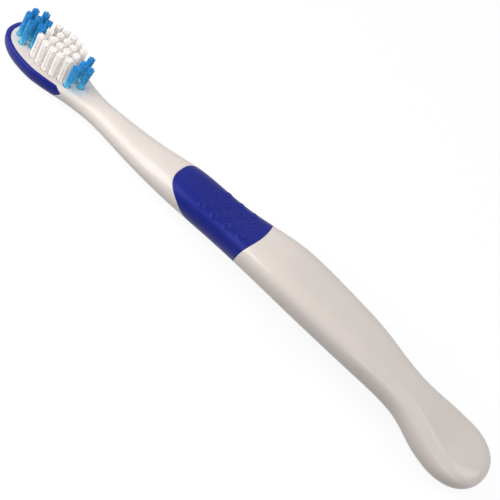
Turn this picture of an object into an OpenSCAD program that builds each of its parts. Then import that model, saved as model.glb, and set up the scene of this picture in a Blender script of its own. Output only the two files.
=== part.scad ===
// Manual toothbrush with a curved handle, a soft grip and a soft head pad.
// Millimetres. It lies on its back on the floor at Z = 0, with its middle over the origin.
// X runs toward the handle end, Y across, and the bristles point along +Z.
// Sizes along the brush are taken from the head tip.

/* [Overall] */
// Length from the head tip to the handle end
brush_l = 151.5; // [148:0.5:170]

/* [Head] */
// Distance from the tip to the widest place of the head
head_mid_x = 12; // [11.5:0.5:13.5]
// Width of the head with its soft pad
head_w = 13.4; // [13:0.1:15]
// Thickness of the head with its soft pad
head_t = 5; // [4.6:0.1:5.6]
// Distance from the tip to the last flat place of the head
heel_x = 23.5; // [23.5:0.1:25.5]
// Width of the head where the neck starts
heel_w = 8.2; // [7.6:0.1:9]
// Height of the underside where the neck starts
heel_rise = 0.4; // [0.1:0.1:0.8]
// Power that fills out the round nose, where 2 gives an ellipse
nose_power = 2.45; // [2:0.05:2.8]

/* [Neck] */
// Place of the thinnest neck
neck_x = 29.5; // [28.5:0.5:33.5]
// Width of the thinnest neck
neck_w = 6.9; // [6:0.1:8]
// Thickness of the thinnest neck
neck_t = 5.3; // [4.8:0.1:6.5]
// Height of the neck above the floor
neck_rise = 0.5; // [0.2:0.1:1.5]
// Place where the neck turns into the handle
shoulder_x = 43.5; // [40:0.5:47.5]
// Width of the shoulder
shoulder_w = 9.2; // [8:0.1:10.5]
// Thickness of the shoulder
shoulder_t = 6.5; // [5.5:0.1:7.5]
// Height of the shoulder above the floor
shoulder_rise = 0.3; // [0.1:0.1:1.5]

/* [Handle] */
// Place of the swell at the front of the grip
swell_x = 59.5; // [56.5:0.5:61.5]
// Width of the swell
swell_w = 11.9; // [10.5:0.1:13]
// Thickness of the swell
swell_t = 8.3; // [7.4:0.1:9]
// Height of the swell's underside above the floor
swell_rise = 1.1; // [0.5:0.1:2]
// Place of the hollow for the thumb
hollow_x = 68; // [65.5:0.5:70.5]
// Width at the hollow
hollow_w = 11.6; // [10.4:0.1:12.8]
// Thickness at the hollow
hollow_t = 8.2; // [7.4:0.1:9.2]
// Height of the hollow's underside above the floor
hollow_rise = 1.6; // [0.8:0.1:2.5]
// Place of the widest part of the handle
belly_x = 90.5; // [87.5:0.5:95.5]
// Greatest width of the handle
belly_w = 15.2; // [13.5:0.1:17]
// Greatest thickness of the handle
belly_t = 9.7; // [8.5:0.1:11]
// Height of the belly's underside above the floor
belly_rise = 3.4; // [2:0.1:5]
// Place where the handle starts to taper
taper_x = 109.5; // [105.5:0.5:113.5]
// Width where the handle starts to taper
taper_w = 14.2; // [12.5:0.1:15]
// Thickness where the handle starts to taper
taper_t = 9.3; // [8.2:0.1:10.5]
// Height of the underside where the handle starts to taper
taper_rise = 3.3; // [2:0.1:5]
// Place of the waist
waist_x = 125.5; // [120.5:0.5:129.5]
// Width of the waist
waist_w = 11.2; // [10:0.1:12.5]
// Thickness of the waist
waist_t = 8.4; // [7.4:0.1:9.4]
// Height of the waist's underside above the floor
waist_rise = 2.4; // [1:0.1:3.5]
// Length of the round end behind the widest place of the bulb
bulb_end_l = 10; // [9:0.5:12]
// Power that fills out the round end, where 2 gives an ellipse
bulb_power = 2.25; // [2:0.05:2.6]
// Width of the bulb
bulb_w = 17.1; // [15:0.1:19]
// Thickness of the bulb
bulb_t = 7.9; // [7:0.1:9]
// Drop of the bulb's top toward the end
bulb_drop = 1; // [0:0.1:1.5]
// Length of the flat underside in front of the bulb's widest place
rest_l = 4; // [2:0.5:5]

/* [Soft parts] */
// Distance from the tip to the front edge of the grip
grip_x = 54; // [51.5:0.5:56.5]
// Length of the grip along its front
grip_l = 24.9; // [22:0.1:27]
// How far the front edge of the grip runs back round the underside
grip_sweep = 13; // [4:0.5:14]
// How far the rear edge of the grip runs forward round the underside
grip_bow = 1.4; // [0:0.1:3]
// Wall of the grip
grip_wall = 1.2; // [0.8:0.1:1.6]
// Outer diameter of the small rings on the grip
dot_d = 1.7; // [1.3:0.1:2]
// Wall of the small rings
dot_wall = 0.3; // [0.2:0.05:0.4]
// Height of the small rings above the grip
dot_h = 0.2; // [0.1:0.05:0.3]
// Distance between the rings along the grip
dot_pitch_x = 3.8; // [3.2:0.1:4]
// Distance between the rows of rings
dot_pitch_y = 2.65; // [2.3:0.05:2.8]
// Distance from the front edge of the grip to the first ring
dot_start = 9.9; // [8:0.1:10.5]
// Distance from the tip to the rear edge of the head pad
pad_l = 19.2; // [18:0.1:19.7]
// Length of the pointed end of the pad on each side
chevron_l = 1.7; // [0.5:0.1:2]
// Wall of the head pad
pad_wall = 0.8; // [0.6:0.05:1]

/* [Tufts] */
// Diameter of a tuft hole
hole_d = 1.7; // [1.5:0.05:1.8]
// Depth of a tuft hole
hole_depth = 3; // [2.4:0.1:3.2]
// Spread of a tuft at its tip, as a share of its radius
tip_spread_share = 0.12; // [0:0.01:0.15]
// Distance between the rows of tufts
tuft_pitch_x = 2.14; // [2.08:0.01:2.14]
// Distance from the tip to the first row
first_row_x = 3.3; // [3.1:0.1:3.3]
// Height of the blue tufts at the tip above the head
tip_tuft_h = 7.8; // [5:0.1:11]
// Height of the white tufts above the head
white_tuft_h = 7.4; // [5:0.1:11]
// Height of the blue tufts at the heel above the head
heel_tuft_h = 7.3; // [5:0.1:11]
// Lean of the blue tufts at the tip toward the handle, in degrees
tip_lean = 3; // [0:0.5:4]
// Lean of the blue tufts at the heel toward the handle, in degrees
heel_lean = 5; // [0:0.5:6]
// Thickness of a strand
strand_d = 0.3; // [0.2:0.02:0.32]
// Length of the wire plate that holds a tuft
anchor_l = 2.1; // [1.9:0.05:2.2]
// Height of the wire plate
anchor_h = 1.2; // [0.8:0.1:1.5]
// Thickness of the wire plate
anchor_t = 0.3; // [0.2:0.05:0.4]

/* [Hidden] */
// Clearance between moulded pieces
gap = 0.04;
// Run of a recess wall along the brush
step = 0.25;
// Overrun of a cut or a sunk root
over = 0.2;

// Turn of the wire plates across the head, in degrees
anchor_turn = 40;
// Thickness of a strand at its tip, as a share of its thickness
strand_tip_share = 0.8;
// Greatest difference between the strands of a tuft, as a share of its height
uneven_share = 0.04;
// Powers by which the front and the rear edge of the grip run round the handle
sweep_power = 1.3;
bow_power = 3;

// Angles of half a cross section, from the front middle round one side to the back middle
half_angles = [90, 75, 60, 48, 37, 27, 22, 10, 0, -12, -25, -40, -55, -72, -90];
// Index of the pad's upper edge among the half angles
edge_index = 5;
// Angle by which the pad stays below its edge
slip_angle = 1;
// Half of the angle that the pad's pointed end covers
chevron_angle = 24;

// Rows of points along the head, the heel, the neck, the grip and the rest of the handle
head_rows = 5;
heel_rows = 2;
neck_rows = 14;
grip_rows = 16;
handle_rows = 24;
// Turns of the rows round the nose and the bulb's end, in degrees
turns = [0 : 9 : 180];
// Sides of a hole and of a small ring
hole_sides = 32;
dot_sides = 24;
// Small rings on the grip: rows, and rings in a row, where every other row has one less
dot_rows = 4;
dots_in_row = 4;
// Strands of a tuft: radius of each circle of strands as a share, and strands in it
strand_circle_shares = [0, 0.5, 1];
strand_counts = [1, 5, 10];
// Angle between two uneven strands, in degrees
uneven_turn = 137;

bulb_x = brush_l - bulb_end_l;
platform_z = head_t;

// Width and top of the handle where its flat underside starts, as shares of the bulb
rest_shares = [0.95, 1.08];

// Stations of the handle: place, half width, underside and top
station_sizes = [
    [head_mid_x, head_w / 2, 0, platform_z],
    [heel_x, heel_w / 2, heel_rise, platform_z],
    [neck_x, neck_w / 2, neck_rise, neck_rise + neck_t],
    [shoulder_x, shoulder_w / 2, shoulder_rise, shoulder_rise + shoulder_t],
    [swell_x, swell_w / 2, swell_rise, swell_rise + swell_t],
    [hollow_x, hollow_w / 2, hollow_rise, hollow_rise + hollow_t],
    [belly_x, belly_w / 2, belly_rise, belly_rise + belly_t],
    [taper_x, taper_w / 2, taper_rise, taper_rise + taper_t],
    [waist_x, waist_w / 2, waist_rise, waist_rise + waist_t],
    [bulb_x - rest_l, bulb_w * rest_shares[0] / 2, 0, bulb_t * rest_shares[1]],
    [bulb_x, bulb_w / 2, 0, bulb_t]
];
// Cross section at each station: front depth as a share of the thickness, then the flat front and
// the flat back as shares of the width
section_shares = [
    [0.1, 0.85, 0.2],
    [0.36, 0.62, 0.15],
    [0.5, 0.1, 0.1],
    [0.45, 0.1, 0.1],
    [0.41, 0.3, 0.1],
    [0.4, 0.5, 0.1],
    [0.38, 0.2, 0.1],
    [0.38, 0.2, 0.1],
    [0.42, 0.25, 0.15],
    [0.42, 0.48, 0.4],
    [0.42, 0.52, 0.45]
];
// Powers that round the front and the back of the cross section at each station
section_powers = [
    [2.2, 3],
    [2.2, 2.6],
    [2.1, 2.1],
    [2.2, 2.2],
    [2.4, 2.2],
    [2.4, 2.2],
    [2.6, 2.2],
    [2.6, 2.2],
    [2.4, 2.2],
    [2.2, 2.2],
    [2.2, 2.2]
];
// The stations' table, and its columns by name
stations = [
    for (i = [0 : len(station_sizes) - 1]) concat(station_sizes[i], section_shares[i], section_powers[i])
];
half_column = 1;
low_column = 2;
top_column = 3;
depth_column = 4;
front_flat_column = 5;
back_flat_column = 6;
front_power_column = 7;
back_power_column = 8;

// Kinds of tufts: first part of the name, height, lean, colour
tuft_kinds = [
    ["tip_tuft_", tip_tuft_h, tip_lean, "dodgerblue"],
    ["white_tuft_", white_tuft_h, 0, "white"],
    ["heel_tuft_", heel_tuft_h, heel_lean, "dodgerblue"]
];
// Rows from the tip: kind, number of tufts, and width over the middles of the outer tufts as a
// share of the head's width
row_kinds = [0, 0, 0, 1, 1, 1, 1, 1, 2, 2];
row_counts = [2, 3, 2, 3, 4, 4, 4, 3, 3, 1];
row_width_shares = [0.16, 0.38, 0.18, 0.475, 0.55, 0.55, 0.505, 0.385, 0.385, 0];

// Each tuft: name, x, y, height, lean, colour
tufts = [
    for (r = [0 : len(row_kinds) - 1])
        let (kind = tuft_kinds[row_kinds[r]], n = row_counts[r], w = row_width_shares[r] * head_w)
            for (i = [0 : n - 1])
                [
                    str(kind[0], r + 1, "_", i + 1),
                    first_row_x + r * tuft_pitch_x,
                    n == 1 ? 0 : w * (i / (n - 1) - 1 / 2),
                    kind[1],
                    kind[2],
                    kind[3]
                ]
];

// Smooth curve through one column of a table of stations
function rate(table, i, c) = (table[i + 1][c] - table[i][c]) / (table[i + 1][0] - table[i][0]);
function slope(table, i, c) =
    i == 0 || i == len(table) - 1 ? 0
    : let (a = rate(table, i - 1, c), b = rate(table, i, c)) a * b <= 0 ? 0 : 2 * a * b / (a + b);
function curve(table, x, c) =
    let (
        i = max([0, for (k = [0 : len(table) - 2]) if (table[k][0] <= x) k]),
        w = table[i + 1][0] - table[i][0],
        u = min(1, max(0, (x - table[i][0]) / w))
    )
    table[i][c] * (1 + 2 * u) * (1 - u) * (1 - u) + table[i + 1][c] * u * u * (3 - 2 * u)
    + slope(table, i, c) * w * u * (1 - u) * (1 - u) - slope(table, i + 1, c) * w * u * u * (1 - u);

// Depth of a rounded edge, from 0 on the flat to 1 at the widest place
function fall(s, flat, power) = s <= flat ? 0 : 1 - pow(1 - pow((s - flat) / (1 - flat), power), 1 / power);

// Cross section at x, set in by a wall: half width, and heights at a share of the half width
function at(x, column) = curve(stations, x, column);
function half_width(x, wall) = at(x, half_column) - wall;
function wide_height(x) =
    let (low = at(x, low_column), top = at(x, top_column))
    top - (top - low) * at(x, depth_column);
function front_height(x, s, wall) =
    let (top = at(x, top_column) - wall)
    top - (top - wide_height(x)) * fall(s, at(x, front_flat_column), at(x, front_power_column));
function back_height(x, s, wall) =
    let (low = at(x, low_column) + wall)
    low + (wide_height(x) - low) * fall(s, at(x, back_flat_column), at(x, back_power_column));
function height(x, angle, wall) =
    angle > 0 ? front_height(x, cos(angle), wall) : back_height(x, cos(angle), wall);
function skin_point(x, angle, side, wall) =
    [x, side * half_width(x, wall) * cos(angle), height(x, angle, wall)];

// Round ends, where turn runs from one side (0) past the end (90) to the other (180): how far a
// point lies along and across, as shares of the end's length and half width
function along_share(turn, power) = pow(abs(sin(turn)), 2 / power);
function across_share(turn, power) = sign(cos(turn)) * pow(abs(cos(turn)), 2 / power);
// Point of the round nose
function nose_point(turn, angle, wall) =
    [
        head_mid_x - (head_mid_x - wall) * cos(angle) * along_share(turn, nose_power),
        half_width(head_mid_x, wall) * cos(angle) * across_share(turn, nose_power),
        height(head_mid_x, angle, wall)
    ];
// Point of the round end of the bulb
function end_point(turn, angle, wall) =
    let (reach = cos(angle) * along_share(turn, bulb_power))
    [
        bulb_x + (bulb_end_l - wall) * reach,
        half_width(bulb_x, wall) * cos(angle) * across_share(turn, bulb_power),
        height(bulb_x, angle, wall) - (angle > 0 ? bulb_drop * reach * sin(angle) : 0)
    ];

// How far round a point lies: 0 at the front middle and 1 at the back middle
function round_share(angle) = (1 - sin(angle)) / 2;
// Front and rear edges of the grip, and rear edge of the pad
function grip_front(angle) = grip_x + grip_sweep * pow(round_share(angle), sweep_power);
function grip_rear(angle) = grip_x + grip_l - grip_bow * (1 - pow(1 - round_share(angle), bow_power));
function pad_end(angle) = pad_l + chevron_l * max(0, 1 - abs(angle) / chevron_angle);

// Closed ring of points from a half section on both sides
function ring(a, b, u, wall, edge_wall) =
    [
        for (side = [1, -1])
            for (k = side > 0 ? [0 : len(half_angles) - 1] : [len(half_angles) - 2 : -1 : 1])
                let (angle = half_angles[k], x = a[k] + (b[k] - a[k]) * u)
                skin_point(x, angle, side, k > edge_index ? wall : edge_wall)
    ];
function each_angle(x) = [for (angle = half_angles) x];
function along(a, b, rows, wall, edge_wall) = [for (i = [0 : rows]) ring(a, b, i / rows, wall, edge_wall)];

// Triangles of a grid of points, leaving out the ones that have no area
function cell(a, b, c, d) =
    [if (a != b && b != c && a != c) [a, b, c], if (a != c && c != d && a != d) [a, c, d]];
function patch(grid) =
    [
        for (i = [0 : len(grid) - 2])
            for (j = [0 : len(grid[i]) - 2])
                each cell(grid[i][j], grid[i][j + 1], grid[i + 1][j + 1], grid[i + 1][j])
    ];
function closed(rings) = [for (r = rings) concat(r, [r[0]])];
function flip(triangles) = [for (t = triangles) [t[0], t[2], t[1]]];
module shell(triangles) {
    polyhedron(
        points = [for (t = triangles) each t],
        faces = [for (i = [0 : len(triangles) - 1]) [3 * i, 3 * i + 1, 3 * i + 2]]
    );
}

pad_wall_in = pad_wall + gap;
grip_wall_in = grip_wall + gap;
grip_fronts = [for (angle = half_angles) grip_front(angle)];
grip_rears = [for (angle = half_angles) grip_rear(angle)];
pad_ends = [for (angle = half_angles) pad_end(angle)];
function shift(list, by) = [for (v = list) v + by];

module from_tip() {
    translate([-brush_l / 2, 0, 0]) children();
}

// One moulding: head core, neck and handle, with recesses for the grip and the pad
module handle_body() {
    rings = concat(
        along(each_angle(head_mid_x), shift(pad_ends, -step), head_rows, pad_wall_in, 0),
        along(pad_ends, each_angle(heel_x), heel_rows, 0, 0),
        [for (i = [1 : neck_rows]) ring(each_angle(heel_x), grip_fronts, i / neck_rows, 0, 0)],
        along(shift(grip_fronts, step), shift(grip_rears, -step), grip_rows, grip_wall_in, grip_wall_in),
        along(grip_rears, each_angle(bulb_x), handle_rows, 0, 0)
    );
    nose = [
        for (turn = turns)
            [
                for (k = [0 : len(half_angles) - 1])
                    nose_point(turn, half_angles[k], k > edge_index ? pad_wall_in : 0)
            ]
    ];
    bulb_end = [for (turn = turns) [for (angle = half_angles) end_point(turn, angle, 0)]];
    shell(concat(patch(closed(rings)), flip(patch(nose)), patch(bulb_end)));
}

module at_tuft(t) {
    from_tip() translate([t[1], t[2], platform_z]) children();
}

module anchor_plate(extra) {
    translate([0, 0, -hole_depth + anchor_h / 2])
        rotate([0, 0, anchor_turn])
            cube([anchor_l + 2 * extra, anchor_t + 2 * extra, anchor_h + 2 * extra], center = true);
}

module handle() {
    color("ghostwhite")
        difference() {
            from_tip() handle_body();
            for (t = tufts)
                at_tuft(t) {
                    translate([0, 0, -hole_depth])
                        cylinder(d = hole_d, h = hole_depth + over, $fn = hole_sides);
                    anchor_plate(gap);
                }
        }
}

module tuft_anchors() {
    color("silver")
        for (t = tufts)
            at_tuft(t) anchor_plate(0);
}

module thumb_grip() {
    fronts = shift(grip_fronts, gap);
    rears = shift(grip_rears, -gap);
    outer = along(fronts, rears, grip_rows, 0, 0);
    inner = along(shift(fronts, step), shift(rears, -step), grip_rows, grip_wall, grip_wall);
    color("mediumblue")
        from_tip() {
            shell(
                concat(
                    patch(closed(outer)),
                    flip(patch(closed(inner))),
                    patch(closed([inner[0], outer[0]])),
                    patch(closed([outer[grip_rows], inner[grip_rows]]))
                )
            );
            for (row = [0 : dot_rows - 1])
                for (i = [0 : dots_in_row - 1 - row % 2])
                    grip_dot(
                        grip_x + dot_start + (i + row % 2 / 2) * dot_pitch_x,
                        (row - (dot_rows - 1) / 2) * dot_pitch_y
                    );
        }
}

// Small ring that stands square to the front of the grip
module grip_dot(x, y) {
    r = dot_d / 2;
    s = abs(y) / half_width(x, 0);
    z_in = front_height(x, abs(abs(y) - r) / half_width(x, 0), 0);
    z_out = front_height(x, (abs(y) + r) / half_width(x, 0), 0);
    z = (z_in + z_out + 2 * front_height(x, s, 0)) / 4;
    pitch = atan2(front_height(x + r, s, 0) - front_height(x - r, s, 0), dot_d);
    roll = atan2(z_out - z_in, dot_d) * sign(y);
    translate([x, y, z])
        rotate([roll, -pitch, 0])
            translate([0, 0, -over])
                difference() {
                    cylinder(d = dot_d, h = dot_h + over, $fn = dot_sides);
                    translate([0, 0, -over])
                        cylinder(d = dot_d - 2 * dot_wall, h = dot_h + 3 * over, $fn = dot_sides);
                }
}

// The pad has the same cross section as the head, below the pad's upper edge
pad_angles = [
    for (k = [edge_index : len(half_angles) - 1]) half_angles[k] - (k == edge_index ? slip_angle : 0)
];
function pad_row(angle, wall, slack) =
    let (run = pad_end(angle) - slack - head_mid_x)
    [
        for (i = [head_rows : -1 : 1]) skin_point(head_mid_x + run * i / head_rows, angle, 1, wall),
        for (turn = turns) nose_point(turn, angle, wall),
        for (i = [1 : head_rows]) skin_point(head_mid_x + run * i / head_rows, angle, -1, wall)
    ];
module head_pad() {
    outer = [for (angle = pad_angles) pad_row(angle, 0, gap)];
    inner = [
        for (k = [0 : len(pad_angles) - 1])
            pad_row(pad_angles[max(k, 1)], pad_wall, gap + step)
    ];
    last = len(outer[0]) - 1;
    rear_right = [[for (row = outer) row[0]], [for (row = inner) row[0]]];
    rear_left = [[for (row = outer) row[last]], [for (row = inner) row[last]]];
    color("mediumblue")
        from_tip()
            shell(
                concat(
                    patch(outer),
                    flip(patch(inner)),
                    patch([inner[0], outer[0]]),
                    patch(rear_right),
                    flip(patch(rear_left))
                )
            );
}

// One bundle of strands on the foot that fills its hole, astride the wire plate
foot_r = hole_d / 2 - gap;
module strand(from, to) {
    r = strand_d / 2;
    base = [for (a = [0 : 90 : 270]) from + [r * cos(a), r * sin(a), 0]];
    tip = [for (a = [0 : 90 : 270]) to + [r * cos(a), r * sin(a), 0] * strand_tip_share];
    shell(
        concat(
            patch([concat(tip, [tip[0]]), concat(base, [base[0]])]),
            cell(tip[3], tip[2], tip[1], tip[0]),
            cell(base[0], base[1], base[2], base[3])
        )
    );
}
module tuft(t) {
    reach = foot_r - strand_d / 2;
    spread = 1 + tip_spread_share;
    color(t[5])
    at_tuft(t) {
        difference() {
            translate([0, 0, gap - hole_depth])
                cylinder(r = foot_r, h = hole_depth - gap, $fn = hole_sides);
            anchor_plate(gap);
        }
        for (c = [0 : len(strand_counts) - 1])
            for (i = [0 : strand_counts[c] - 1]) {
                a = 360 * i / strand_counts[c];
                p = reach * strand_circle_shares[c] * [cos(a), sin(a), 0];
                h = t[3] * (1 - uneven_share * (1 + cos(uneven_turn * (i + strand_counts[c]))) / 2);
                strand(p - [0, 0, over], p * spread + [h * tan(t[4]), 0, h]);
            }
    }
}

handle();
thumb_grip();
head_pad();
tuft_anchors();
for (t = tufts)
    tuft(t);
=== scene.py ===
# Manual toothbrush, dressed for rendering: metres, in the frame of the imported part.
# It lies on its back along X, head at -X, with its bristles up.
import math
import random

import bmesh
import bpy
from mathutils import Matrix, Vector


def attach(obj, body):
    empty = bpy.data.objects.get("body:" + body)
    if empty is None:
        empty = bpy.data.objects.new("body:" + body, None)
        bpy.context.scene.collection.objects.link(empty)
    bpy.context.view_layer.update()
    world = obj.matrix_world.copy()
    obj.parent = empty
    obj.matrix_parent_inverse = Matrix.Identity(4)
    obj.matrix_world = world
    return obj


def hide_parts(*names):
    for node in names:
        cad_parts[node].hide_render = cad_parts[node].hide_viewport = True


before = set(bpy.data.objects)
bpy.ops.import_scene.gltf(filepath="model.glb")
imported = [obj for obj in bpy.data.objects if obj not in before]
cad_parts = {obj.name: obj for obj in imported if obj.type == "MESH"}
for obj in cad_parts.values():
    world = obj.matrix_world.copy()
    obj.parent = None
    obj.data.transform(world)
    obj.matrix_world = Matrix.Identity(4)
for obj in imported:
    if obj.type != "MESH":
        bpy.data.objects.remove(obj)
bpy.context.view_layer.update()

# Handle: one injection moulding of glossy white polypropylene, from the head plate along the thin
# neck to the round bulb. It has shallow beds for the soft parts, a round hole for each tuft, and a
# faint parting line along each side, where the two halves of the mould met.
mm = 0.001  # sizes are given in millimetres, and places along the brush are counted from its tip
brush_l = 151.5
head_mid_x = 12
nose_power = 2.45
heel_x = 23.5
platform_z = 5
bulb_x = 141.5
bulb_end_l = 10
bulb_drop = 1
bulb_power = 2.25
bend_ease = 2.5
pad_rear_x = 19.2
pad_point_l = 1.7
pad_point_angle = 24
pad_wall = 0.84
grip_x = 54
grip_l = 24.9
grip_sweep = 13
grip_bow = 1.4
grip_wall = 1.24
# From the tip: place, half width, underside, top, front depth as a share of the thickness, flat
# front and flat back as shares of the width, powers that round the front and the back
stations = [
    (12, 6.7, 0, 5, 0.1, 0.85, 0.2, 2.2, 3),
    (23.5, 4.1, 0.4, 5, 0.36, 0.62, 0.15, 2.2, 2.6),
    (29.5, 3.45, 0.5, 5.8, 0.5, 0.1, 0.1, 2.1, 2.1),
    (43.5, 4.6, 0.3, 6.8, 0.45, 0.1, 0.1, 2.2, 2.2),
    (59.5, 5.95, 1.1, 9.4, 0.41, 0.3, 0.1, 2.4, 2.2),
    (68, 5.8, 1.6, 9.8, 0.4, 0.5, 0.1, 2.4, 2.2),
    (90.5, 7.6, 3.4, 13.1, 0.38, 0.2, 0.1, 2.6, 2.2),
    (109.5, 7.1, 3.3, 12.6, 0.38, 0.2, 0.1, 2.6, 2.2),
    (125.5, 5.6, 2.4, 10.8, 0.42, 0.25, 0.15, 2.4, 2.2),
    (137.5, 8.12, 0, 8.53, 0.42, 0.48, 0.4, 2.2, 2.2),
    (141.5, 8.55, 0, 7.9, 0.42, 0.52, 0.45, 2.2, 2.2),
]


def slope(i, column):
    """Slope of a column at a station: level at both ends and where the line turns back."""
    if i in (0, len(stations) - 1):
        return 0
    before, here, after = stations[i - 1], stations[i], stations[i + 1]
    a = (here[column] - before[column]) / (here[0] - before[0])
    b = (after[column] - here[column]) / (after[0] - here[0])
    return 0 if a * b <= 0 else 2 * a * b / (a + b)


def through(x, column):
    """A value at x millimetres from the tip, on a line through the stations that never overshoots."""
    i = max([0] + [k for k in range(len(stations) - 1) if stations[k][0] <= x])
    a, b = stations[i], stations[i + 1]
    run = b[0] - a[0]
    u = min(1, max(0, (x - a[0]) / run))
    return (
        a[column] * (1 + 2 * u) * (1 - u) ** 2
        + b[column] * u * u * (3 - 2 * u)
        + slope(i, column) * run * u * (1 - u) ** 2
        - slope(i + 1, column) * run * u * u * (1 - u)
    )


def curve(x, column):
    """The same line with its bends eased, so that highlights run along it without a break."""
    ease = max(0, min(bend_ease, x - stations[0][0], stations[-1][0] - x))
    return (through(x - ease, column) + 2 * through(x, column) + through(x + ease, column)) / 4


def sine(angle):
    return math.sin(math.radians(angle))


def cosine(angle):
    return math.cos(math.radians(angle))


def fall(share, flat, power):
    """Depth of a rounded edge, from 0 on the flat to 1 at the widest place."""
    if share <= flat:
        return 0
    return 1 - (1 - min(1, (share - flat) / (1 - flat)) ** power) ** (1 / power)


def height(x, around, wall):
    """Height of the skin at an angle around from the front middle, set in by a wall."""
    share = abs(sine(around))
    low, top = curve(x, 2), curve(x, 3)
    wide = top - (top - low) * curve(x, 4)
    if cosine(around) > 0:
        top -= wall
        return top - (top - wide) * fall(share, curve(x, 5), curve(x, 7))
    low += wall
    return low + (wide - low) * fall(share, curve(x, 6), curve(x, 8))


def from_tip(x, y, z):
    """A point in the part's frame, from millimetres with x counted from the tip."""
    return Vector((x - brush_l / 2, y, z)) * mm


def skin(x, around, wall):
    """Point of the handle's skin, x from the tip and at an angle around it."""
    return from_tip(x, (curve(x, 1) - wall) * sine(around), height(x, around, wall))


def end_point(turn, around, wall, middle_x, reach, power):
    """Point of a round end: turn runs from one side (0) past its tip (90) to the other (180)."""
    out = sine(around)
    ahead = sine(turn) ** (2 / power) * out
    aside = math.copysign(abs(cosine(turn)) ** (2 / power), 90 - turn) * out
    x = middle_x + (reach - math.copysign(wall, reach)) * ahead
    y = (curve(middle_x, 1) - wall) * aside
    return from_tip(x, y, height(middle_x, around, wall))


def round_share(around):
    """0 at the front middle and 1 at the back middle."""
    return (1 - cosine(around)) / 2


def grip_front(around):
    """The grip's front edge, which sweeps back round the underside."""
    return grip_x + grip_sweep * round_share(around) ** 1.3


def grip_rear(around):
    """The grip's rear edge, which bows."""
    return grip_x + grip_l - grip_bow * (1 - (1 - round_share(around)) ** 3)


def pad_rear(around):
    """The head cup's rear edge, with a blunt point on each side."""
    beside = abs(90 - (around if around < 180 else 360 - around))
    return pad_rear_x + pad_point_l * max(0, 1 - beside / pad_point_angle)


def sheet(bm, rows, columns, place):
    """Adds a grid whose corners lie where place(row, column) says."""
    for v in bmesh.ops.create_grid(bm, x_segments=rows, y_segments=columns, size=1)["verts"]:
        v.co = place(round((v.co.x + 1) / 2 * rows), round((v.co.y + 1) / 2 * columns))


def shade_smooth(mesh, sharp=50):
    """Shades a mesh smooth, except over edges sharper than an angle."""
    mesh.polygons.foreach_set("use_smooth", [True] * len(mesh.polygons))
    mesh.set_sharp_from_angle(angle=math.radians(sharp))


def piece(name, bm):
    """Closes the seams of a mesh, turns its faces outward and makes it an object."""
    bmesh.ops.remove_doubles(bm, verts=bm.verts, dist=0.002 * mm)
    bmesh.ops.recalc_face_normals(bm, faces=bm.faces)
    mesh = bpy.data.meshes.new(name)
    bm.to_mesh(mesh)
    bm.free()
    shade_smooth(mesh)
    made = bpy.data.objects.new(name, mesh)
    bpy.context.collection.objects.link(made)
    return made


def finish_mesh(made, sharp=50):
    """Replaces an object's mesh by what its modifiers make of it."""
    bpy.context.view_layer.update()
    mesh = bpy.data.meshes.new_from_object(made.evaluated_get(bpy.context.evaluated_depsgraph_get()))
    made.modifiers.clear()
    made.data = mesh
    mesh.name = made.name
    shade_smooth(mesh, sharp)


# Angles from the front middle to the back middle, close together at the lip of the cup's bed and at
# the parting line, whose depth is below zero because it stands proud
lip = 63
half_round = (
    [0, 6, 12, 18, 24, 30, 35, 40, 44, 48, 51.5, 54.5, 57, 59, 60.5, 61.7, 62.4, lip, lip + 0.4]
    + [66, 69, 72, 75, 78, 81, 84, 87, 88.6, 89.4, 90, 90.6, 91.4, 93, 96, 100, 104, 109, 114]
    + [119, 124, 130, 136, 142, 148, 154, 160, 166, 173, 180]
)
all_round = half_round + [360 - a for a in half_round[-2::-1]]
parting = {89.4: -0.012, 90: -0.03, 90.6: -0.012}


def pad_bed(around):
    """Depth of the cup's bed: nothing above the lip, a rounded edge, and the full wall below it."""
    down = min(around, 360 - around)
    edge = {61.7: 0, 62.4: 0.02, lip: 0.09}
    return edge.get(down, 0 if down < lip else pad_wall)


def grip_bed(around):
    """Depth of the grip's bed, the same all round."""
    return grip_wall


def ridge(around):
    """Depth of the bare skin, which is 0 except on the parting line."""
    return parting.get(min(around, 360 - around), 0)


# The step at each end of a bed: distance into the bed, and share of its depth
bed_step = [(0.25, 1.0), (0.02, 0.1), (-0.06, 0.02), (-0.2, 0.0)]
inner, outer = bed_step[0][0], -bed_step[-1][0]


def step_rows(edge, side, depth):
    """Rows of the step at a bed's edge; side is 1 where the bed begins and -1 where it ends."""
    return [(lambda a, d=d: edge(a) + side * d, lambda a, s=s: depth(a) * s)
            for d, s in bed_step[::-side]]


def even_rows(start, stop, steps, parts, depth):
    """Rows at the given steps, out of so many equal parts of the way from one edge to another."""
    return [(lambda a, t=i / parts: start(a) + (stop(a) - start(a)) * t, depth) for i in steps]


# Rows along the handle, each with its place at an angle and its depth there
rows = (
    even_rows(lambda a: head_mid_x, lambda a: pad_rear(a) - inner, range(14), 14, pad_bed)
    + step_rows(pad_rear, -1, pad_bed)
    + even_rows(lambda a: pad_rear(a) + outer, lambda a: heel_x, range(1, 6), 5, ridge)
    + even_rows(lambda a: heel_x, lambda a: grip_front(a) - outer, range(1, 44), 44, ridge)
    + step_rows(grip_front, 1, grip_bed)
    + even_rows(lambda a: grip_front(a) + inner, lambda a: grip_rear(a) - inner,
                range(1, 16), 16, grip_bed)
    + step_rows(grip_rear, -1, grip_bed)
    + even_rows(lambda a: grip_rear(a) + outer, lambda a: bulb_x, range(1, 73), 72, ridge)
)
end_rows = 60  # from side to side round the nose and round the bulb


def body_point(row, column):
    around = all_round[column]
    place, depth = rows[row]
    return skin(place(around), around, depth(around))


def nose_point(row, column):
    around = half_round[column]
    turn = row * 180 / end_rows
    return end_point(turn, around, pad_bed(around), head_mid_x, -head_mid_x, nose_power)


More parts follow.
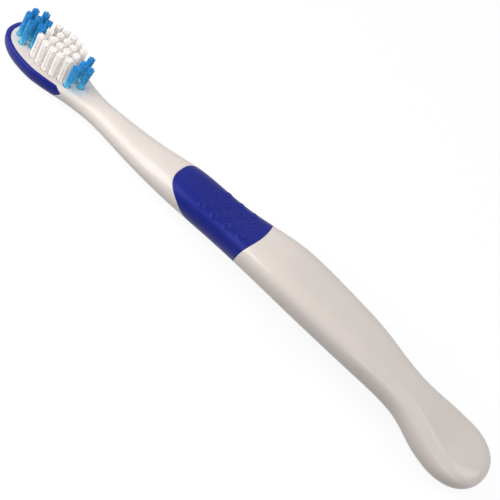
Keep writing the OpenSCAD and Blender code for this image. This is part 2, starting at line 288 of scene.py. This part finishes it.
def bulb_point(row, column):
    """The front of the bulb drops toward its end."""
    around = half_round[column]
    turn = row * 180 / end_rows
    point = end_point(turn, around, ridge(around), bulb_x, bulb_end_l, bulb_power)
    point.z -= bulb_drop * mm * sine(turn) * sine(around) * max(0, cosine(around))
    return point


body = bmesh.new()
sheet(body, len(rows) - 1, len(all_round) - 1, body_point)
sheet(body, end_rows, len(half_round) - 1, nose_point)
sheet(body, end_rows, len(half_round) - 1, bulb_point)
handle = piece("handle_moulding", body)

# Tuft rows from the tip: node names, number of tufts, width over the middles of the outer ones
first_row_x = 3.3
row_pitch = 2.14
tuft_rows = [
    ("tip_tuft", 2, 2.15), ("tip_tuft", 3, 5.1), ("tip_tuft", 2, 2.4),
    ("white_tuft", 3, 6.35), ("white_tuft", 4, 7.35), ("white_tuft", 4, 7.35),
    ("white_tuft", 4, 6.75), ("white_tuft", 3, 5.15),
    ("heel_tuft", 3, 5.15), ("heel_tuft", 1, 0),
]
tufts = {}
for r, (kind, count, wide) in enumerate(tuft_rows):
    for i in range(count):
        y = wide * (i / max(1, count - 1) - 0.5)
        tufts[f"{kind}_{r + 1}_{i + 1}"] = from_tip(first_row_x + row_pitch * r, y, platform_z)


def circle(bm, radius, sides, middle):
    """Adds a level circle, and gives its edges."""
    made = bmesh.ops.create_circle(bm, cap_ends=False, segments=sides, radius=radius * mm,
                                   matrix=Matrix.Translation(middle))
    return list(dict.fromkeys(e for v in made["verts"] for e in v.link_edges))


def next_ring(bm, edges):
    """Extrudes a ring of edges in place, and gives the new ring's corners and edges."""
    made = bmesh.ops.extrude_edge_only(bm, edges=edges)["geom"]
    corners = [g for g in made if isinstance(g, bmesh.types.BMVert)]
    return corners, [g for g in made if isinstance(g, bmesh.types.BMEdge)]


# A drill for each hole, which widens at the top so that the rim of the hole is eased
hole_r = 0.85
hole_depth = 3
drill_steps = ((2.84, 1), (0.46, 1.3))  # rise, and how much wider the drill gets on the way
drill = bmesh.new()
for at in tufts.values():
    edges = circle(drill, hole_r, 36, at - Vector((0, 0, hole_depth * mm)))
    bmesh.ops.contextual_create(drill, geom=edges)
    for rise, grow in drill_steps:
        corners, edges = next_ring(drill, edges)
        bmesh.ops.translate(drill, verts=corners, vec=(0, 0, rise * mm))
        bmesh.ops.scale(drill, verts=corners, vec=(grow, grow, 1), space=Matrix.Translation(-at))
    bmesh.ops.contextual_create(drill, geom=edges)
cutter = piece("drill", drill)
cut = handle.modifiers.new("holes", "BOOLEAN")
cut.operation, cut.object, cut.solver = "DIFFERENCE", cutter, "EXACT"
finish_mesh(handle)
bpy.data.objects.remove(cutter)


def add(tree, kind, sockets=(), **settings):
    """Adds a node; sockets pairs each input with a value or with the output that feeds it."""
    made = tree.nodes.new(kind)
    for name, value in settings.items():
        setattr(made, name, value)
    for key, value in dict(sockets).items():
        if isinstance(value, bpy.types.NodeSocket):
            tree.links.new(value, made.inputs[key])
        else:
            made.inputs[key].default_value = value
    return made


def math_of(tree, operation, *values):
    """Output of a Math node on two or three values."""
    return add(tree, "ShaderNodeMath", dict(enumerate(values)), operation=operation).outputs[0]


def ranged(tree, value, low, high, at_low, at_high):
    """A value that runs from at_low to at_high while another runs from low to high."""
    ends = {0: value, 1: low, 2: high, 3: at_low, 4: at_high}
    return add(tree, "ShaderNodeMapRange", ends).outputs[0]


def scaled(tree, color, factor):
    """A colour made lighter or darker by a factor."""
    made = add(tree, "ShaderNodeVectorMath", {0: color, "Scale": factor}, operation="SCALE")
    return made.outputs[0]


def noise(tree, where, scale, detail):
    """Soft noise between 0 and 1."""
    sockets = {"Vector": where, "Scale": scale, "Detail": detail}
    return add(tree, "ShaderNodeTexNoise", sockets).outputs[0]


def effect(name, inputs, outputs):
    """A new node group with named inputs and outputs, and its two end nodes."""
    tree = bpy.data.node_groups.new(name, "ShaderNodeTree")
    for label, kind in inputs:
        tree.interface.new_socket(label, in_out="INPUT", socket_type="NodeSocket" + kind)
    for label, kind in outputs:
        tree.interface.new_socket(label, in_out="OUTPUT", socket_type="NodeSocket" + kind)
    return tree, tree.nodes.new("NodeGroupInput").outputs, tree.nodes.new("NodeGroupOutput").inputs


def material(name, plain):
    """A new material, with the values that are the same all over set on its Principled BSDF."""
    made = bpy.data.materials.new(name)
    made.use_nodes = True
    shader = made.node_tree.nodes["Principled BSDF"]
    for key, value in plain.items():
        shader.inputs[key].default_value = value
    return made, made.node_tree, shader


# Skin of a moulded part: cloudy colour, uneven gloss with fine rubs, and the mould's grain
moulded, given, out = effect(
    "moulded_skin",
    [("Color", "Color"), ("Cloud", "Float"), ("Gloss", "Float"), ("Uneven", "Float"),
     ("Grain Size", "Float"), ("Grain Depth", "Float")],
    [("Color", "Color"), ("Roughness", "Float"), ("Normal", "Vector")],
)
where = add(moulded, "ShaderNodeTexCoord").outputs["Object"]
cloud = math_of(moulded, "SUBTRACT", noise(moulded, where, 90, 3), 0.5)
cloud = math_of(moulded, "MULTIPLY_ADD", cloud, given["Cloud"], 1.0)
moulded.links.new(scaled(moulded, given["Color"], cloud), out["Color"])
rub_way = add(moulded, "ShaderNodeMapping", {
    "Vector": where, "Rotation": (0.3, 0.1, 0.5), "Scale": (180, 5200, 5200)}).outputs[0]
rubs = ranged(moulded, noise(moulded, rub_way, 1, 2), 0.62, 0.8, 0, 1)
worn = math_of(moulded, "ADD", rubs, noise(moulded, where, 340, 4))
rough = math_of(moulded, "MULTIPLY_ADD", worn, given["Uneven"], given["Gloss"])
moulded.links.new(rough, out["Roughness"])
grain = noise(moulded, where, given["Grain Size"], 3)
bumps = add(moulded, "ShaderNodeBump", {
    "Height": grain, "Strength": 1, "Distance": given["Grain Depth"]})
moulded.links.new(bumps.outputs[0], out["Normal"])


def skin_of(tree, shader, color, **values):
    """Feeds a moulded part's shader from the moulded skin, with this part's own values."""
    group = add(tree, "ShaderNodeGroup", {"Color": color}, node_tree=moulded)
    for key, value in values.items():
        group.inputs[key.replace("_", " ").title()].default_value = value
    tree.links.new(group.outputs["Color"], shader.inputs["Base Color"])
    tree.links.new(group.outputs["Roughness"], shader.inputs["Roughness"])
    tree.links.new(group.outputs["Normal"], shader.inputs["Normal"])


white, tree, shader = material(
    "white_polypropylene",
    {"Specular IOR Level": 0.36, "Subsurface Weight": 0.12, "Subsurface Scale": 0.0015,
     "Subsurface Radius": (1, 0.95, 0.9)})
plain_white = (0.548, 0.497, 0.466, 1)
painted_blue_light = (0.4, 0.515, 0.6, 1)
# Near the blue tufts the white plastic is painted a little blue. This is painted light, standing in
# for the blue light that passes through those tufts onto the plate. For those at the tip and those at
# the heel: their middle, counted from the middle of the brush, and the blue's reach along it
painted_blue_light_places = ((-70.4, 5.2), (-54.2, 4.6))
reach_y, reach_z = 4.6, 1.5
where = add(tree, "ShaderNodeTexCoord").outputs["Object"]
painted_blue_light_share = 0
for middle_x, reach_x in painted_blue_light_places:
    around_it = add(tree, "ShaderNodeMapping", {
        "Vector": where, "Location": (-middle_x / reach_x, 0, -platform_z / reach_z),
        "Scale": (1 / reach_x / mm, 1 / reach_y / mm, 1 / reach_z / mm)}).outputs[0]
    away = add(tree, "ShaderNodeVectorMath", {0: around_it}, operation="LENGTH").outputs["Value"]
    painted_blue_light_share = math_of(tree, "MAXIMUM", painted_blue_light_share, ranged(tree, away, 0.35, 1, 1, 0))
# Painted light: around the blue tufts' feet the plate's colour is mixed toward blue
color = add(tree, "ShaderNodeMix", {0: painted_blue_light_share, 6: plain_white, 7: painted_blue_light},
            data_type="RGBA").outputs[2]
skin_of(tree, shader, color, cloud=0.07, gloss=0.145, uneven=0.07,
        grain_size=1400, grain_depth=0.000005)
handle.data.materials.clear()
handle.data.materials.append(white)
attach(handle, "root")
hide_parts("handle")

# Head cup: blue thermoplastic rubber moulded round the edge, tip and back of the head plate. It lies
# flush in its bed and ends in a blunt point on each side, where the heel runs into the neck.
cup_round = (
    [lip + 0.6, 64.1, 65, 67, 70, 74, 78, 82, 86, 90, 94, 98, 102, 107, 112, 118, 124, 130]
    + [137, 144, 151, 158, 165, 172, 180]
)
side_rows = 16
soft_gap = 0.06  # between each end of a soft part and its bed


def cup_point(row, column):
    """The cup runs along one side to the nose, round it, and back along the other side."""
    around = cup_round[column]
    if side_rows <= row <= side_rows + end_rows:
        turn = (row - side_rows) * 180 / end_rows
        return end_point(turn, around, 0, head_mid_x, -head_mid_x, nose_power)
    steps = side_rows - row if row < side_rows else row - side_rows - end_rows
    x = head_mid_x + (pad_rear(around) - soft_gap - head_mid_x) * steps / side_rows
    return skin(x, around if row < side_rows else 360 - around, 0)


cup = bmesh.new()
sheet(cup, end_rows + 2 * side_rows, len(cup_round) - 1, cup_point)
head_cup = piece("head_cup", cup)


def thicken(made, wall, edge):
    """Gives a skin its wall, inward, and rounds the edges where it ends."""
    solid = made.modifiers.new("wall", "SOLIDIFY")
    solid.thickness, solid.offset, solid.use_even_offset = wall * mm, -1, False
    round_edge = made.modifiers.new("edge", "BEVEL")
    round_edge.width, round_edge.segments, round_edge.limit_method = edge * mm, 3, "ANGLE"
    round_edge.angle_limit = math.radians(55)
    finish_mesh(made, 60)


thicken(head_cup, wall=0.7, edge=0.09)
rubber, tree, shader = material(
    "blue_rubber", {"Specular IOR Level": 0.35, "Specular Tint": (0.3, 0.38, 1, 1)})
skin_of(tree, shader, (0.007, 0.011, 0.15, 1), cloud=0.18, gloss=0.32, uneven=0.12,
        grain_size=5200, grain_depth=0.00001)
head_cup.data.materials.clear()
head_cup.data.materials.append(rubber)
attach(head_cup, "root")
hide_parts("head_pad")

# Grip: a sleeve of the same rubber, moulded round the handle behind the neck. Fourteen small rings in
# four staggered rows stand up from its front to keep a wet thumb from sliding.
ring_r = 0.7
ring_w = 0.22
ring_h = 0.17
first_ring_x = grip_x + 9.9
ring_pitch = 3.8
ring_row_pitch = 2.65
ring_middles = []
for row in range(4):
    late = row % 2
    for i in range(4 - late):
        x, y = first_ring_x + (i + late / 2) * ring_pitch, (row - 1.5) * ring_row_pitch
        ring_middles.append(skin(x, math.degrees(math.asin(y / curve(x, 1))), 0))
grip_round = [i * 1.5 for i in range(41)]
grip_round += [64, 69, 75, 82, 90, 98, 107, 117, 127, 138, 150, 160, 170, 180]
grip_round += [360 - a for a in grip_round[-2::-1]]
grip_rows = 160


def grip_point(row, column):
    """The sleeve follows the handle's skin, and stands up where a ring passes."""
    around = grip_round[column]
    start, stop = grip_front(around) + soft_gap, grip_rear(around) - soft_gap
    x = start + (stop - start) * row / grip_rows
    point = skin(x, around, 0)
    near = min((point - middle).length for middle in ring_middles) / mm
    rise = ring_h * max(0, 1 - ((near - ring_r) / ring_w) ** 2)
    if rise:
        point += (skin(x, around, 0) - skin(x, around, 0.3)).normalized() * rise * mm
    return point


sleeve = bmesh.new()
sheet(sleeve, grip_rows, len(grip_round) - 1, grip_point)
grip = piece("grip_sleeve", sleeve)
thicken(grip, wall=1.05, edge=0.1)
grip.data.materials.clear()
grip.data.materials.append(rubber)
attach(grip, "root")
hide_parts("thumb_grip")

# Wire plates: a small plate of nickel silver is driven across the bottom of each hole and holds the
# tuft by its fold. They stay as the part has them, deep in the head.
wire, tree, shader = material("nickel_silver", {"Metallic": 1.0})
skin_of(tree, shader, (0.72, 0.66, 0.5, 1), cloud=0.2, gloss=0.25, uneven=0.2,
        grain_size=9000, grain_depth=0.000004)
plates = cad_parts["tuft_anchors"]
plates.data.materials.clear()
plates.data.materials.append(wire)

# Tufts: bundles of nylon filaments, folded in two, driven into the round holes and trimmed, with their
# ends ground round. White ones fill the middle. Translucent blue ones stand at the heel and, a little
# taller, at the tip.
filament_r = 0.115
filament_sides = 6
filament_rings = ((0.25, 1), (0.5, 1), (0.75, 1), (0.975, 1), (0.993, 0.78))  # height, width
foot_depth = 2.9
bundle_r = 0.76
pitch = 0.236


def filament_mesh():
    """One straight filament a unit long, with a round end."""
    bm = bmesh.new()
    edges = circle(bm, filament_r, filament_sides, Vector())
    for z, grow in filament_rings:
        corners, edges = next_ring(bm, edges)
        for v in corners:
            v.co = Vector((v.co.x * grow, v.co.y * grow, z))
    bmesh.ops.contextual_create(bm, geom=edges)
    end = bmesh.ops.poke(bm, faces=[f for f in bm.faces if len(f.verts) == filament_sides])
    for v in end["verts"]:
        v.co.z = 1
    bmesh.ops.recalc_face_normals(bm, faces=bm.faces)
    mesh = bpy.data.meshes.new("filament")
    bm.to_mesh(mesh)
    bm.free()
    return mesh


filament = filament_mesh()
# Close packing: each row of filaments lies half a pitch aside and 0.866 of a pitch on from the last
packing = [
    Vector((i * pitch + (j % 2) * pitch / 2, j * pitch * 0.866, 0))
    for i in range(-5, 6) for j in range(-5, 6)
]
packing = [p for p in packing if p.length < bundle_r]
tuft_sizes = {"tip_tuft": (7.8, 3), "white_tuft": (7.4, 0.5), "heel_tuft": (7.3, 5)}  # height, lean
stray = 0.07  # scatter of a filament's bend and of its length
splay = 0.16  # bend outward, as a share of the distance from the tuft's middle
dome = 0.035  # share by which the outer filaments are shorter
bristle_top_z = 12.9  # where the colours up a filament end
shadow_share = 0.06  # share of the light that a filament holds back


def filament_material(name, stops, mottle):
    """Nylon whose colour runs up the filament, with a mottle and fine lengthwise drawing marks.
    Most of the light goes through a filament, so it throws only a faint shadow."""
    made, tree, shader = material(name, {})
    where = add(tree, "ShaderNodeTexCoord").outputs["Object"]
    up = add(tree, "ShaderNodeSeparateXYZ", {0: where}).outputs["Z"]
    rise = ranged(tree, up, platform_z * mm, bristle_top_z * mm, 0, 1)
    ramp = add(tree, "ShaderNodeValToRGB", {0: rise})
    steps = ramp.color_ramp.elements
    steps[0].position, steps[0].color = stops[0]
    steps[1].position, steps[1].color = stops[-1]
    for position, color in stops[1:-1]:
        steps.new(position).color = color
    drawn = add(tree, "ShaderNodeMapping", {"Vector": where, "Scale": (9000, 9000, 700)}).outputs[0]
    marks = noise(tree, drawn, 1, 2)
    tint = scaled(tree, ramp.outputs[0], ranged(tree, marks, 0.3, 0.7, 0.95, 1.03))
    patches = noise(tree, where, 1500, 3)
    tint = scaled(tree, tint, ranged(tree, patches, 0.35, 0.65, 1 - mottle, 1 + mottle / 2))
    tree.links.new(tint, shader.inputs["Base Color"])
    tree.links.new(ranged(tree, marks, 0.3, 0.7, 0.28, 0.42), shader.inputs["Roughness"])
    bump = add(tree, "ShaderNodeBump", {"Height": marks, "Distance": 0.000004})
    tree.links.new(bump.outputs[0], shader.inputs["Normal"])
    path = add(tree, "ShaderNodeLightPath").outputs
    passing = math_of(tree, "MAXIMUM", path["Is Shadow Ray"], path["Is Diffuse Ray"])
    tree.links.new(ranged(tree, passing, 0, 1, 1, shadow_share), shader.inputs["Alpha"])
    return made


white_nylon = filament_material(
    "white_nylon", [(0, (0.88, 0.82, 0.78, 1)), (1, (0.85, 0.8, 0.765, 1))], mottle=0.06)
# The blue filaments' pale cyan foot is painted light: the glow of light shining through the tuft near
# the plate
blue_nylon = filament_material(
    "blue_nylon",
    [(0, (0.14, 0.6, 0.85, 1)), (0.3, (0.02, 0.34, 0.72, 1)), (0.92, (0.01, 0.24, 0.62, 1)),
     (1, (0.005, 0.13, 0.4, 1))],
    mottle=0.4)

for name, at in tufts.items():
    kind = name.rsplit("_", 2)[0]
    tall, lean = tuft_sizes[kind]
    lean = math.tan(math.radians(lean))
    draw = random.Random(name)
    turn = Matrix.Rotation(draw.uniform(0, math.pi), 3, "Z")
    bm = bmesh.new()
    for spot in packing:
        foot = turn @ spot
        out_share = foot.length / bundle_r
        bend = Vector((draw.gauss(0, stray), draw.gauss(0, stray), 0)) + foot * splay
        long = tall * (1 - dome * out_share**2) + draw.gauss(0, stray) + foot_depth
        first = len(bm.verts)
        bm.from_mesh(filament)
        bm.verts.ensure_lookup_table()
        for v in bm.verts[first:]:
            above = max(0, v.co.z * long - foot_depth)
            curl = (above / tall) ** 1.5
            v.co = at + Vector((v.co.x, v.co.y, 0)) + mm * Vector((
                foot.x + bend.x * curl + lean * above,
                foot.y + bend.y * curl,
                v.co.z * long - foot_depth,
            ))
    mesh = bpy.data.meshes.new("bristles_" + name)
    bm.to_mesh(mesh)
    bm.free()
    mesh.polygons.foreach_set("use_smooth", [True] * len(mesh.polygons))
    tuft = bpy.data.objects.new("bristles_" + name, mesh)
    bpy.context.collection.objects.link(tuft)
    mesh.materials.append(white_nylon if kind == "white_tuft" else blue_nylon)
    # White nylon passes nearly all light on, so the white tufts throw no shadow
    tuft.visible_shadow = kind != "white_tuft"
    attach(tuft, "root")
    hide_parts(name)

# Floor: a plain sheet under the brush. Seen straight or in a gloss it glows nearly white, and keeps a
# soft part of the brush's shadow. It throws little light back at the brush.
ground = bmesh.new()
bmesh.ops.create_grid(ground, x_segments=1, y_segments=1, size=3)
floor = piece("floor", ground)
paper = bpy.data.materials.new("white_paper")
paper.use_nodes = True
tree = paper.node_tree
tree.nodes.clear()
seen_grey, thrown_grey, glow_share = 0.9, 0.12, 0.9


def in_sight(tree):
    """1 for what is seen straight, in a gloss or through a clear part, and 0 for light thrown on."""
    path = add(tree, "ShaderNodeLightPath").outputs
    seen = math_of(tree, "MAXIMUM", path["Is Camera Ray"], path["Is Glossy Ray"])
    return math_of(tree, "MAXIMUM", seen, path["Is Transmission Ray"])


seen = in_sight(tree)
grey = ranged(tree, seen, 0, 1, thrown_grey, seen_grey)
matte = add(tree, "ShaderNodeBsdfDiffuse", {"Color": grey}).outputs[0]
glow = add(tree, "ShaderNodeEmission", {"Color": (1, 1, 1, 1), "Strength": 1}).outputs[0]
share = math_of(tree, "MULTIPLY", seen, glow_share)
both = add(tree, "ShaderNodeMixShader", {0: share, 1: matte, 2: glow}).outputs[0]
add(tree, "ShaderNodeOutputMaterial", {"Surface": both})
floor.data.materials.append(paper)

# Light: three soft lamps, on the near side of the handle, by the head and above the handle end, and
# an even surround, which is white where it is seen and lights the brush less than that.
world = bpy.data.worlds.new("surround")
bpy.context.scene.world = world
world.use_nodes = True
tree = world.node_tree
tree.nodes.clear()
surround_light, surround_seen = 0.6, 1.0
level = ranged(tree, in_sight(tree), 0, 1, surround_light, surround_seen)
sky = add(tree, "ShaderNodeBackground", {"Color": (1, 1, 1, 1), "Strength": level}).outputs[0]
add(tree, "ShaderNodeOutputWorld", {"Surface": sky})


def lamp(name, place, size, watts):
    """A square soft lamp that points at the middle of the brush."""
    made = bpy.data.objects.new(name, bpy.data.lights.new(name, "AREA"))
    made.data.size, made.data.energy = size, watts
    made.location = place
    made.rotation_euler = (-Vector(place)).to_track_quat("-Z", "Y").to_euler()
    bpy.context.collection.objects.link(made)


lamp("key", (0.22, -0.33, 0.21), 0.25, 0.36)
lamp("head", (-0.15, -0.085, 0.11), 0.18, 0.455)
lamp("fill", (0.3, 0.1, 0.3), 0.25, 0.45)

# Camera: above the near side, turned so that the brush runs from the upper left to the lower right.
down, along, roll = (math.radians(a) for a in (41.93, 6.78, 43.97))
aim = Vector((0.00235, 0.00023, 0.005))
distance = 0.291
back = Vector((math.sin(along), -math.sin(down) * math.cos(along), math.cos(down) * math.cos(along)))
level_x = (Vector((1, 0, 0)) - back * back.x).normalized()
level_y = back.cross(level_x)
right = level_x * math.cos(roll) + level_y * math.sin(roll)
up = level_y * math.cos(roll) - level_x * math.sin(roll)
camera = bpy.data.objects.new("camera", bpy.data.cameras.new("camera"))
camera.data.lens, camera.data.sensor_width = 91.25, 36
camera.data.clip_start = 0.01
camera.matrix_world = (Matrix.Translation(aim + back * distance)
                       @ Matrix((right, up, back)).transposed().to_4x4())
bpy.context.collection.objects.link(camera)
bpy.context.scene.camera = camera
bpy.context.scene.view_settings.view_transform = "Standard"
